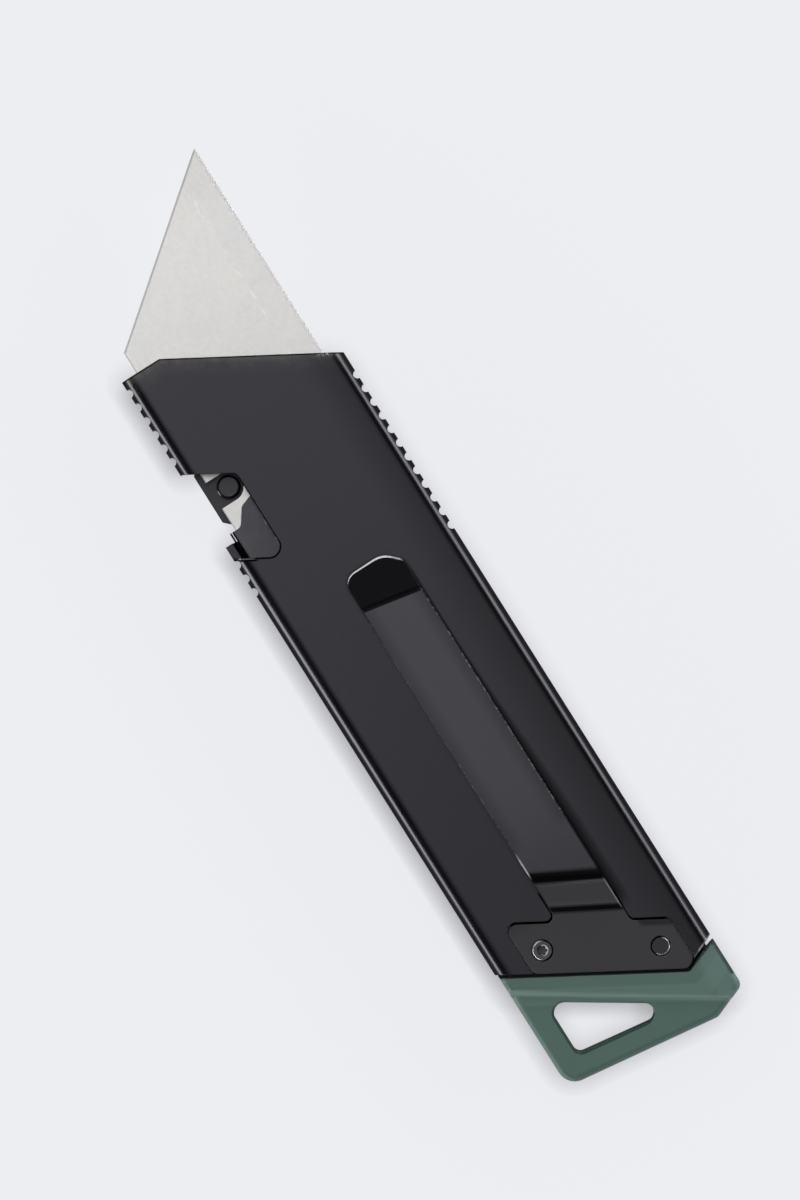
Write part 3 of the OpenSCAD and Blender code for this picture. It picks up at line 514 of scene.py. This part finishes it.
# painted highlight on the rim of the flared tip
flare_slope = math.tan(math.radians(23))
below_rim = clip_high.z - (clip_high.x - x) * flare_slope - z
rim_glint = clip_coat.facing.parts()[0].rise(0.45, 0.75) * below_rim.fall(0.35 * mm, 0.5 * mm)
rim_highlight = plain((0.7, 0.7, 0.72), 0.55, Metallic=0.4)
clip_coat.beside(rim_glint * x.rise(flare_x, flare_x + 1 * mm), rim_highlight)
wear(["pocket_clip"], clip_coat)

# %% [markdown]
# ## The track plate
# On the rear side, between the lips, a plain steel plate carries the slider. The slider's shoulders
# polish it: long bright streaks run beside the slot. They are a noise drawn out along the knife, shown
# only at the distance from the middle where the slider rubs.

# %% The track plate
plate_coat = black_coat("plate_coat", (0.022, 0.022, 0.024), 0.42, 0.1 * mm, scratch=1.5)
x, y, z = plate_coat.place.parts()
beside_slot = abs(y).between(1.9 * mm, 2.4 * mm, 3.8 * mm, 4.6 * mm)
streaks = plate_coat.noise(0.3 * mm, detail=3.0, roughness=0.6, at=plate_coat.stretched(0.03, 1.0, 1.0))
polished = plain((0.35, 0.35, 0.36), 0.3, Metallic=1.0)
plate_coat.beside(beside_slot * streaks.rise(0.45, 0.65) * 0.45, polished)
# painted shade on the plate's edges
plate_coat.beside(plate_coat.edge * 0.6, dull_painted_shade)
wear(["track_plate"], plate_coat)

# %% [markdown]
# ## The carrier
# The carrier is thin dark sheet, a little greyer than the sleeve. It rubs against its pads and the sleeve,
# so fine scratches run along it, and a noise in larger lumps lets patches of a lighter grey through where
# it is handled. Painted shade keeps its sheared edges and its fold dark, and the fold's front part has one
# line of painted highlight.

# %% The carrier
carrier_coat = black_coat("carrier_coat", (0.05, 0.049, 0.054), 0.34, 0.1 * mm, scratch=2.0)
x, y, z = carrier_coat.place.parts()
lengthwise = carrier_coat.stretched(0.05, 1.0, 1.0)
scratches = carrier_coat.noise(0.25 * mm, detail=2.0, roughness=0.6, at=lengthwise).rise(0.62, 0.75)
carrier_coat.beside(scratches * 0.03, bare_wear_and_highlight)
# painted shade on the carrier's edges
carrier_coat.beside(carrier_coat.edge * 0.85, dull_painted_shade)
carrier_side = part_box("blade_carrier")[1].y
fold_highlight_x = 17 * mm
# painted shade over the fold, where the sleeve's side shades it
inside_side = carrier_side - y
fold_shade = inside_side.fall(0.45 * mm, 0.55 * mm)
carrier_coat.beside(fold_shade, painted_deep_shade)
# painted highlight: one bright line along the fold's front part
fold_highlight = inside_side.between(0.18 * mm, 0.24 * mm, 0.3 * mm, 0.35 * mm)
fold_highlight = fold_highlight * x.rise(fold_highlight_x - 0.05 * mm, fold_highlight_x + 0.1 * mm)
carrier_coat.beside(fold_highlight * 0.35, bare_wear_and_highlight)
inner_side = y.fall(window_y + 0.2 * mm, window_y + 0.35 * mm)
rubs = carrier_coat.noise(0.5 * mm, detail=3.0).rise(0.5, 0.62)
carrier_coat.beside(inner_side * rubs * 0.15, bare_wear_and_highlight)
handled = carrier_coat.noise(2.2 * mm, detail=3.0).rise(0.38, 0.66)
handled = handled * (1 - carrier_coat.edge) * (1 - fold_shade)
carrier_coat.beside(handled * 0.12, plain((0.13, 0.126, 0.13), 0.5))
wear(["blade_carrier"], carrier_coat)

# %% [markdown]
# ## The release leaf and its pin
# The leaf under the blade ends in an ear that a thumb presses, and its pin stands in the blade's notch.
# The leaf is darker than the carrier, with wide dark edges of painted shade. The pin's turned head slopes
# down to a ring of painted shade; its top is rubbed to an olive grey, except at its front corner, and one
# side has a painted highlight.

# %% Leaf and pin
leaf_coat = black_coat("leaf_coat", (0.018, 0.018, 0.019), 0.36, 0.1 * mm, scratch=1.5, rim=0.24 * mm)
# painted shade on the leaf's wide edges
leaf_coat.beside(leaf_coat.edge * 0.85, dull_painted_shade)
wear(["release_leaf"], leaf_coat)

pin_coat = black_coat("pin_coat", (0.02, 0.02, 0.021), 0.34, 0.06 * mm, scratch=0.3)
x, y, z = pin_coat.place.parts()
pin_low, pin_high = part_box("notch_pin")
pin_middle = (pin_low + pin_high) / 2
to_front = x - pin_middle.x
to_front_edge = to_front - (y - pin_middle.y)
worn_top = pin_coat.noise(0.9 * mm, detail=3.0).rise(0.4, 0.7) * to_front_edge.fall(-1.2 * mm, 0.2 * mm)
pin_coat.beside(worn_top * 0.4, plain((0.12, 0.12, 0.095), 0.5))
# painted shade on the pin's sloping rim
sloped = pin_coat.facing.parts()[2].fall(0.75, 0.95)
pin_coat.beside(sloped.at_least(pin_coat.edge) * 0.95, painted_deep_shade)
# painted highlight on one side of the pin
from_side = pin_high.y - y
side_highlight = from_side.fall(0.05 * mm, 0.12 * mm) * to_front.fall(0.12 * mm, 0.32 * mm)
pin_coat.beside(side_highlight * 0.2, bare_wear_and_highlight)
wear(["notch_pin"], pin_coat)
print("pin is", round((pin_high.y - pin_low.y) / mm, 2), "mm across")

# %% [markdown]
# ## The blade
# Blade steel is pale and satin. It is rolled, so its flat is softly mottled, warm with cooler patches, and
# darkest near the tip; it is ground along the cutting edge, so fine lines run across the ground face, and a
# few pale flecks mark where the grinding ends and paint a highlight along that line. The blade is bare
# metal: Metallic is 1 and the tone is the colour of its reflection. Grinding and rolling are one noise
# drawn out two ways.

# %% The blade's tone
blade_steel = Finish("blade_steel", Metallic=1.0)
edge, soft = blade_steel.edges(0.06 * mm)
x, y, z = blade_steel.place.parts()
from_edge = y - blade_low.y
ground = from_edge.fall(3.0 * mm, 3.3 * mm)
mottle = blade_steel.noise(3.5 * mm, detail=4.0, roughness=0.6).rise(0.35, 0.65)
fine = blade_steel.noise(0.5 * mm, detail=3.0, roughness=0.6)
cool = blade_steel.noise(7 * mm, detail=2.0).rise(0.46, 0.62)
near_tip = x.rise(blade_high.x - 9 * mm, blade_high.x - 2 * mm)
tone = blade_steel.mix(mottle, (0.81, 0.793, 0.775, 1), (0.772, 0.765, 0.757, 1))
tone = blade_steel.mix(cool * 0.55, tone, (0.785, 0.782, 0.788, 1))
stain = (fine - 0.5) * 0.5 + 0.2 + near_tip * 0.2 - ground * 0.14
tone = blade_steel.mix(stain, tone, (0.62, 0.61, 0.59, 1))
along_edge = blade_steel.stretched(0.35, 1.0, 1.0)
# pale flecks and a painted highlight along the line where the grinding ends
highlight_flecks = blade_steel.noise(0.5 * mm, detail=3.0, roughness=0.6, at=along_edge).rise(0.52, 0.66)
fleck_line = from_edge.between(2.9 * mm, 3.15 * mm, 3.25 * mm, 3.5 * mm)
tone = blade_steel.mix(fleck_line * highlight_flecks * 0.36, tone, (0.97, 0.96, 0.94, 1))
blade_steel.feed("Base Color", tone)
print("blade is", round((blade_high.y - blade_low.y) / mm, 2), "mm high")

# %% [markdown]
# ## The blade's grain and outline
# The blade's rim is sheared, and a thin grey line of painted shade runs all round it. At the back and at
# the slanted end that line is a mask on the distance to the nearer of the two, and at the cutting edge it
# comes from the Bevel node.

# %% The blade's gloss, grain and outline
grinding = blade_steel.noise(0.14 * mm, detail=2.0, roughness=0.6, at=blade_steel.stretched(1.0, 0.06, 1.0))
rolling = blade_steel.noise(0.2 * mm, detail=2.0, roughness=0.6, at=blade_steel.stretched(0.08, 1.0, 1.0))
grain = grinding * ground + rolling * (1 - ground)
blade_steel.feed("Roughness", 0.4 + (fine - 0.5) * 0.12 + ground * 0.04)
blade_steel.feed("Normal", blade_steel.bump(grain, 0.0014 * mm, over=soft))
end_slope = 15.4 / 19.05           # how far the slanted end runs back, for each mm of height
end_cosine = 0.777
to_end = (blade_high.x - x - from_edge * end_slope) * end_cosine
outline = to_end.at_most(blade_high.y - y).fall(0.08 * mm, 0.15 * mm)
rim_shade_grey = plain((0.24, 0.25, 0.28), 0.6, Specular_IOR_Level=0.2)
# painted shade: the thin grey outline round the blade
blade_steel.beside(outline.at_least(edge) * 0.6, rim_shade_grey)
wear(["blade"], blade_steel)

# %% [markdown]
# ## Screw and rivet heads
# The screw and the rivet that hold the clip are blackened and turned, so their grain runs in rings.
# Their sloping rims get a painted highlight on one side and painted shade on the other. The lit side is
# given as a direction and compared with the way the rim faces.

# %% Turned heads
def turned_head(piece, tone, lit_x, lit_y):
    """Black turned head whose sloping rim gets a painted highlight on the side the two direction numbers
    point to, and painted shade on the other.
    """
    low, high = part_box(piece)
    head = black_coat(piece + "_black", (tone, tone, tone), 0.26, 0.07 * mm, scratch=0.3)
    rings = head.rings((low + high) / 2, 0.12 * mm)
    head.feed("Normal", head.bump(rings, 0.004 * mm))
    facing_x, facing_y, facing_z = head.facing.parts()
    sloped = facing_z.fall(0.82, 0.95)
    patches = head.noise(0.9 * mm, detail=2.0).rise(0.35, 0.6)
    # painted highlight on the rim's lit side, painted shade on the other
    lit_side = (facing_x * lit_x + facing_y * lit_y).rise(-0.25, 0.35)
    head.beside(sloped * (1 - lit_side) * 0.8, painted_deep_shade)
    head.beside(sloped * lit_side * (patches * 0.7 + 0.3), bare_wear_and_highlight)
    wear([piece], head)


turned_head("clip_screw", 0.042, 0.4, 0.9)
turned_head("clip_rivet", 0.006, -0.8, -0.6)

# %% [markdown]
# ## Rivets, post, insert and spring
# The hidden rivets, the slider's post and the lock spring are bare steel, and the threaded insert is
# brass. Metal shows its colour only in its reflection, so all of them are one helper with a tone. The
# post and the spring are drawn, which stretches their grain along them.

# %% Rolled and drawn metals
def bare_steel(name, tone, roughness, grain, drawn=(1.0, 1.0, 1.0)):
    """Metal with a fine grain, drawn out along an axis whose scale is small."""
    steel = Finish(name, Metallic=1.0)
    soft = steel.edges(0.08 * mm)[1]
    cloud = steel.noise(2 * mm, detail=3.0)
    pores = steel.noise(grain, detail=3.0, roughness=0.6, at=steel.stretched(*drawn))
    steel.feed("Base Color", steel.mix(cloud, *shades(tone, 0.18)))
    steel.feed("Roughness", roughness + (pores - 0.5) * 0.2)
    steel.feed("Normal", steel.bump(pores, 0.002 * mm, over=soft))
    return steel


rivet_steel = bare_steel("rivet_steel", (0.4, 0.4, 0.4), 0.35, 0.1 * mm)
wear(["track_rivets", "runner_rivets", "leaf_rivets"], rivet_steel)
post_steel = bare_steel("post_steel", (0.45, 0.45, 0.46), 0.3, 0.08 * mm, drawn=(1.0, 1.0, 0.1))
wear(["button_post"], post_steel)
insert_brass = bare_steel("insert_brass", (0.62, 0.48, 0.25), 0.32, 0.1 * mm)
wear(["screw_insert"], insert_brass)
spring_steel = bare_steel("spring_steel", (0.42, 0.43, 0.46), 0.28, 0.1 * mm, drawn=(0.05, 1.0, 1.0))
wear(["lock_spring"], spring_steel)

# %% [markdown]
# ## The lock's leaf spring
# Inside the knife the slider's post lifts a strip of spring steel, whose far end carries the lock's tooth.
# The strip is riveted down at its root, so it bends in between. A stiff strip would be cut by the post when
# the slider is pressed, and one split in two would leave a gap. So a copy of the strip is cut across into
# short lengths at its bend.

# %% Lock spring
post_low, post_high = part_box("button_post")
post_x = (post_low.x + post_high.x) / 2
root_x = post_x - 4.4 * mm
lifted_x = post_x - 2.2 * mm
bend_cuts = 12
strip = bmesh.new()
strip.from_mesh(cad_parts["lock_spring"].data)
bmesh.ops.remove_doubles(strip, verts=strip.verts, dist=0.001 * mm)
for cut_x in np.linspace(root_x, lifted_x, bend_cuts):
    whole = strip.verts[:] + strip.edges[:] + strip.faces[:]
    bmesh.ops.bisect_plane(strip, geom=whole, plane_co=(cut_x, 0, 0), plane_no=(1, 0, 0))
bmesh.ops.triangulate(strip, faces=strip.faces[:])
for face in strip.faces:
    face.smooth = False
    face.material_index = 0
strip_mesh = bpy.data.meshes.new("lock_strip")
strip.to_mesh(strip_mesh)
strip.free()
strip_mesh.materials.append(spring_steel.material)
lock_strip = bpy.data.objects.new("lock_strip", strip_mesh)
bpy.context.scene.collection.objects.link(lock_strip)
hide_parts("lock_spring")
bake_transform(lock_strip)
print("lock strip:", len(strip_mesh.vertices), "points")

# %% [markdown]
# ## Moulded plastics
# The end cap, the slider, its block and the glide pads are moulded plastic with a spark-eroded grain.
# The grain is a fine bump that also breaks up the gloss, and small darker specks sit in the colour.
# All four come from one helper, which leaves the bump to its caller, since the cap needs one more.

# %% Moulded plastics
def moulded(name, tone, roughness, shine=0.5):
    """Plastic with a spark-eroded grain; shine is its specular level."""
    plastic = Finish(name, IOR=1.46, Specular_IOR_Level=shine)
    plastic.soft = plastic.edges(0.15 * mm)[1]
    plastic.spark = plastic.noise(0.12 * mm, detail=3.0, roughness=0.6)
    cloud = plastic.noise(6 * mm, detail=3.0)
    specks = plastic.noise(0.3 * mm, detail=2.0).rise(0.66, 0.72)
    dark, light = shades(tone, 0.06)
    plastic.feed("Base Color", plastic.mix(specks * 0.25, plastic.mix(cloud, dark, light), dark))
    plastic.feed("Roughness", roughness + (plastic.spark - 0.5) * 0.15)
    return plastic


def small_moulding(name, tone, roughness, pieces):
    """Grained plastic on small pieces."""
    plastic = moulded(name, tone, roughness)
    plastic.feed("Normal", plastic.bump(plastic.spark, 0.004 * mm, over=plastic.soft))
    wear(pieces, plastic)


small_moulding("button_plastic", (0.022, 0.022, 0.024), 0.46, ["thumb_button"])
small_moulding("slide_plastic", (0.05, 0.05, 0.053), 0.38, ["runner", "glide_buttons"])

# %% [markdown]
# ## The end cap
# The cap is a grey-green moulding in two mould halves, which leave a thin raised line along the middle of
# its thickness. The line could be a ridge of its own, but at a few hundredths of a millimetre a bump reads
# the same. The band along the sleeve's end is bevelled and painted lighter, and where the bevel ends a line
# of light is painted on. The painted line runs on straight past the heel, with a field of painted light
# beside it.

# %% The cap's plastic, bevel and painted line of light
cap_plastic = moulded("cap_plastic", (0.066, 0.119, 0.1), 0.48, shine=0.4)
x, y, z = cap_plastic.place.parts()
facing_x, facing_y, facing_z = cap_plastic.facing.parts()
cap_middle = (cap_low.z + cap_high.z) / 2
mould_line = abs(z - cap_middle).fall(0.03 * mm, 0.09 * mm) * abs(facing_z).fall(0.2, 0.5)
relief = cap_plastic.spark * 0.2 + mould_line
cap_plastic.feed("Normal", cap_plastic.bump(relief, 0.02 * mm, over=cap_plastic.soft))
cap_gap = 0.49 * mm
cap_joint_x = tail_x - cap_gap
past_slant = x - (cap_joint_x - (half_width - y) * slant_slope)
past_joint = past_slant.at_most(x - (heel_x - cap_gap + (heel_y - y) * heel_slope))
behind_joint = past_joint * -1
painted_light_bevel = behind_joint.between(1.3 * mm, 1.7 * mm, 3.5 * mm, 3.9 * mm)
# painted light on the bevel
cap_plastic.beside(painted_light_bevel * 0.6, plain((0.084, 0.152, 0.128), 0.5))
painted_line_distance = 2.08 * mm          # behind the joint, 9 mm towards the spine
painted_line_slope = 0.085                 # how much it falls back from there to the cutting side
# painted highlight: the line of light where the bevel ends
from_painted_line = past_slant + painted_line_distance + (9 * mm - y) * painted_line_slope
past_heel = heel_y - y
# painted light beside the line, past the heel
painted_light_by_heel = from_painted_line.rise(0, 0.8 * mm) * past_heel.rise(0.7 * mm, 1.9 * mm)
cap_plastic.beside(painted_light_by_heel * 0.5, plain((0.096, 0.165, 0.145), 0.5))
cap_plastic.beside(from_painted_line.line(0.05 * mm, 0.65 * mm), plain((0.112, 0.196, 0.166), 0.45))
print("cap is", round((cap_high.z - cap_low.z) / mm, 2), "mm thick, its gap", round(cap_gap / mm, 2), "mm")

# %% [markdown]
# ## The cap's gap, its tongue and its hole
# The cap is greyer beside the sleeve's end. In the gap it is painted dark green as shade, darkest past the
# heel. Its tongue in front of the gap is painted pale at both ends, as light, and black in between, as
# shade. Two walls of the lanyard hole are painted dark as shade. Light alone would shade all of these more
# softly than so narrow a gap looks, so each is a mask.

# %% The cap's gap, its tongue and its hole
cap_plastic.beside(past_joint.rise(-0.7 * mm, -0.1 * mm) * 0.6, plain((0.07, 0.096, 0.086), 0.5))
past_edge = past_joint.rise(0, 0.1 * mm)
on_tongue = past_joint.rise(0.5 * mm, 0.8 * mm)
in_gap = past_edge * (1 - on_tongue)
painted_light_tongue = plain((0.22, 0.22, 0.23), 0.9, Specular_IOR_Level=0.0)
gap_shade_green = plain((0.024, 0.034, 0.033), 0.9, Specular_IOR_Level=0.0)
heel_shade_green = plain((0.004, 0.012, 0.01), 0.9, Specular_IOR_Level=0.0)
hole_shade_green = plain((0.02, 0.034, 0.03), 0.8, Specular_IOR_Level=0.0)
by_base = (x - tail_x).rise(1.5 * mm, 1.8 * mm) * y.fall(clip_high.y - 0.9 * mm, clip_high.y - 0.4 * mm)
cutting_half = y.fall(2 * mm, 3 * mm) * y.rise(clip_low.y + 0.1 * mm, clip_low.y + 0.4 * mm)
# painted light on the tongue's ends
cap_plastic.beside(past_edge, painted_light_tongue)
# painted shade on the tongue between its ends
cap_plastic.beside(on_tongue * by_base.at_least(cutting_half), painted_deep_shade)
# painted shade in the gap, darkest past the heel
cap_plastic.beside(in_gap, gap_shade_green)
cap_plastic.beside(in_gap * past_heel.rise(-0.3 * mm, 0.7 * mm), heel_shade_green)
from_cap_end = x - cap_low.x
in_hole = from_cap_end.between(3.2 * mm, 3.4 * mm, 11.2 * mm, 11.4 * mm)
in_hole = in_hole * (cap_high.y - y).rise(2.25 * mm, 2.45 * mm)
# painted shade on two walls of the lanyard hole
shaded_wall = facing_x.at_least(facing_y * -1).rise(0.3, 0.6) * in_hole
cap_plastic.beside(shaded_wall * 0.8, hole_shade_green)
wear(["end_cap"], cap_plastic)

# %% [markdown]
# ## The room
# Black satin metal shows the room more than its own colour, so the light is written as a room: a wide
# soft ceiling light that fades out over the clip's end and leans to the cutting side, and glows near
# the horizon, strongest on the spine side. Each is a smooth function of the direction, read from the
# world's texture coordinate, where z is the sine of the height above the horizon. Lamps would do as
# well, but their outlines are hard, and a satin bend shows a hard outline as a stripe.

# %% Room light
ceiling_glow = 2.1
spine_glow = 8.58
edge_glow = 6.72
tip_glow = 0.8
rear_glow = 0.14
horizon_glow = 0.7                 # from all sides
world = bpy.data.worlds.new("room")
bpy.context.scene.world = world
room = Tree(world)
to_tip, to_spine, up = room.node("TexCoord", out="Generated").parts()
to_cutting_edge = to_spine * -1
ceiling = to_tip.rise(-0.2, 0.22) * to_spine.fall(0.02, 0.6) * to_cutting_edge.fall(0.08, 0.7)
ceiling = ceiling * up.rise(0.0, 0.3) * (1 - to_tip.rise(0.7, 0.95) * 0.6) * ceiling_glow
spine_side = up.between(0.0, 0.18, 0.2, 0.38) * to_spine.rise(0.4, 0.9) * spine_glow
edge_side = up.between(0.12, 0.34, 0.34, 0.53) * to_cutting_edge.rise(0.4, 0.8) * edge_glow
horizon = up.fall(0.18, 0.4) * (to_tip.rise(0.3, 0.8) * tip_glow + horizon_glow)
rear = (to_tip * -1).rise(0.6, 0.72) * to_spine.fall(0.1, 0.35) * rear_glow
sky = room.tree.nodes["Background"]
room.set(sky.inputs["Color"], (1, 1, 1, 1))
room.set(sky.inputs["Strength"], ceiling + spine_side + edge_side + horizon + rear)
print("the room's light has", len(room.tree.nodes), "nodes")

# %% [markdown]
# ## The table
# The knife lies on a pale table. A table lit by the room alone would take on the room's unevenness, so
# what the camera and the metal see of it is mostly its own glow, of one even tone. The knife's shadow
# is drawn into that glow by the ambient occlusion node: close, soft, and leaning to the spine side.

# %% Table
table_tone = (0.836, 0.842, 0.876, 1)
reach = 3.0
shadow_reach = 3.1 * mm
shadow_depth = 0.85
table_glow = 1.024
glow_share = 0.92
table_mesh = bpy.data.meshes.new("table")
corners = np.array([(-1, -1, 0), (1, -1, 0), (1, 1, 0), (-1, 1, 0)]) * reach
table_mesh.from_pydata(corners.tolist(), [], [(0, 1, 2, 3)])
table = bpy.data.objects.new("table", table_mesh)
bpy.context.scene.collection.objects.link(table)
pale = Finish("pale_table", Roughness=0.9, Base_Color=table_tone, Specular_IOR_Level=0.0)
leaning = pale.node("CombineXYZ", None, {0: 0.2, 1: -0.6, 2: 0.78})
around = {"Distance": shadow_reach, "Normal": leaning}
open_sky = pale.node("AmbientOcclusion", {"samples": 8}, around, out="AO")
shade = pale.mix(open_sky ** shadow_depth, (0, 0, 0, 1), table_tone)
glow = pale.node("Emission", None, {"Color": shade, "Strength": table_glow})
rays = pale.node("LightPath").socket.node
seen = Field(pale, rays.outputs["Is Camera Ray"])
mirrored = Field(pale, rays.outputs["Is Glossy Ray"]) + Field(pale, rays.outputs["Is Transmission Ray"])
both = pale.node("MixShader", None, {0: (seen + mirrored) * glow_share, 1: pale.surface, 2: glow})
pale.set(pale.tree.nodes["Material Output"].inputs["Surface"], both)
table_mesh.materials.append(pale.material)
print("table is", 2 * reach, "m wide")

# %% [markdown]
# ## Closing
# The Standard view transform shows the tones as they were set; others bend them to look like film.

# %% Set the view transform and close
bpy.context.scene.view_settings.view_transform = "Standard"
